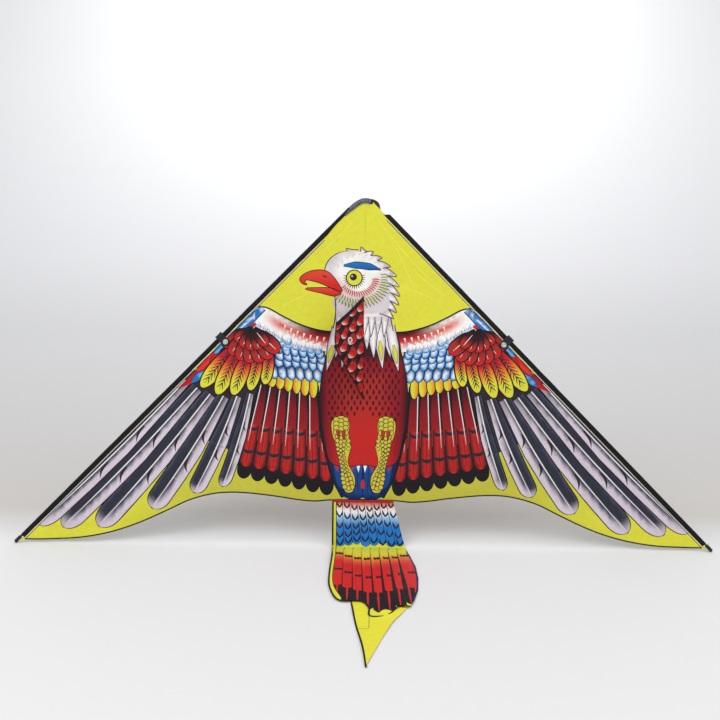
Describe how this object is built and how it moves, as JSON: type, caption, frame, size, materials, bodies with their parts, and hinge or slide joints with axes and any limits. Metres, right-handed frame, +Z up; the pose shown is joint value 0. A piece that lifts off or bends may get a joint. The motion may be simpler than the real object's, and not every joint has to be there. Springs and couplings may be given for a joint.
{
  "type": "delta kite",
  "caption": "Delta kite: printed cloth sail on rods, folding wings, removable spreader, keel with a tow eyelet, cloth tail, standing on its wing tips",
  "frame": {"origin": "on the floor, under the centre of the whole object's box; the wing tips and the tail stand on z = 0", "axes": "+Z up; +X along the span, towards the viewer's right when the print is seen; the kite faces -Y and leans back 12 degrees towards +Y"},
  "size_m": [1.6, 0.7152, 0.7842],
  "materials": {
    "sail_cloth": "printed plain-weave polyester, soft sheen",
    "sleeve_cloth": "black woven polyester, matte",
    "strap_webbing": "ribbed grey-black webbing",
    "tab_webbing": "ribbed black webbing",
    "binding_tape": "black woven tape",
    "fibreglass": "black glass-fibre rod, satin",
    "cap_rubber": "black rubber",
    "clip_plastic": "black moulded plastic",
    "rivet_metal": "nickel-plated, polished",
    "eyelet_metal": "nickel-plated, polished",
    "keel_cloth": "printed plain-weave polyester",
    "tail_cloth": "printed plain-weave polyester",
    "flap_cloth": "plain-weave polyester"
  },
  "bodies": {
    "spine": {"centre_seam": "sail_cloth", "spine_sleeve": "sleeve_cloth", "spine_spar": "fibreglass", "spine_foot_cap": "cap_rubber", "spine_nose_cap": "cap_rubber", "nose_strap": "strap_webbing"},
    "left_wing": {"sail_left": "sail_cloth", "leading_edge_sleeve_left": "sleeve_cloth", "leading_edge_spar_left": "fibreglass", "tip_cap_left": "cap_rubber", "trailing_binding_left": "binding_tape", "spreader_tab_left": "tab_webbing", "spreader_rivet_left": "rivet_metal", "spreader_clip_left": "clip_plastic"},
    "right_wing": {"sail_right": "sail_cloth", "leading_edge_sleeve_right": "sleeve_cloth", "leading_edge_spar_right": "fibreglass", "tip_cap_right": "cap_rubber", "trailing_binding_right": "binding_tape", "spreader_tab_right": "tab_webbing", "spreader_rivet_right": "rivet_metal", "spreader_clip_right": "clip_plastic"},
    "spreader": {"spreader_rod": "fibreglass", "rod_cap_left": "cap_rubber", "rod_cap_right": "cap_rubber"},
    "keel": {"keel_panel": "keel_cloth", "keel_binding": "binding_tape", "keel_hem": "binding_tape", "tow_eyelet": "eyelet_metal"},
    "tail_upper": {"tail_seam_tape": "binding_tape", "tail_upper_panel": "tail_cloth", "tail_upper_binding": "binding_tape"},
    "tail_lower": {"tail_fan": "tail_cloth", "tail_fan_binding": "binding_tape", "tail_flap": "flap_cloth", "tail_flap_binding": "binding_tape"}
  },
  "joints": [
    {"name": "left_wing_fold", "type": "hinge", "parent": "spine", "child": "left_wing", "pos_m": [0, 0.27061, 0.39602], "axis": [0, 0.2079, 0.9781], "range_deg": [0, 78]},
    {"name": "right_wing_fold", "type": "hinge", "parent": "spine", "child": "right_wing", "pos_m": [0, 0.27061, 0.39602], "axis": [0, -0.2079, -0.9781], "range_deg": [0, 78]},
    {"name": "keel_swing", "type": "hinge", "parent": "spine", "child": "keel", "pos_m": [0, 0.28309, 0.45471], "axis": [0, 0.2079, 0.9781], "range_deg": [0, 50]},
    {"name": "spreader_pull", "type": "slide", "parent": "spine", "child": "spreader", "axis": [0, 0.9781, -0.2079], "range_m": [0, 0.06]},
    {"name": "tail_hang", "type": "hinge", "parent": "spine", "child": "tail_upper", "pos_m": [0, 0.20882, 0.10531], "axis": [1, 0, 0], "range_deg": [0, 60]},
    {"name": "tail_curl", "type": "hinge", "parent": "tail_upper", "child": "tail_lower", "pos_m": [0, 0.18691, 0.00226], "axis": [1, 0, 0], "range_deg": [0, 78]}
  ],
  "couplings": [
    {"joint": "keel_swing", "follows": "left_wing_fold", "ratio": 0.64}
  ]
}
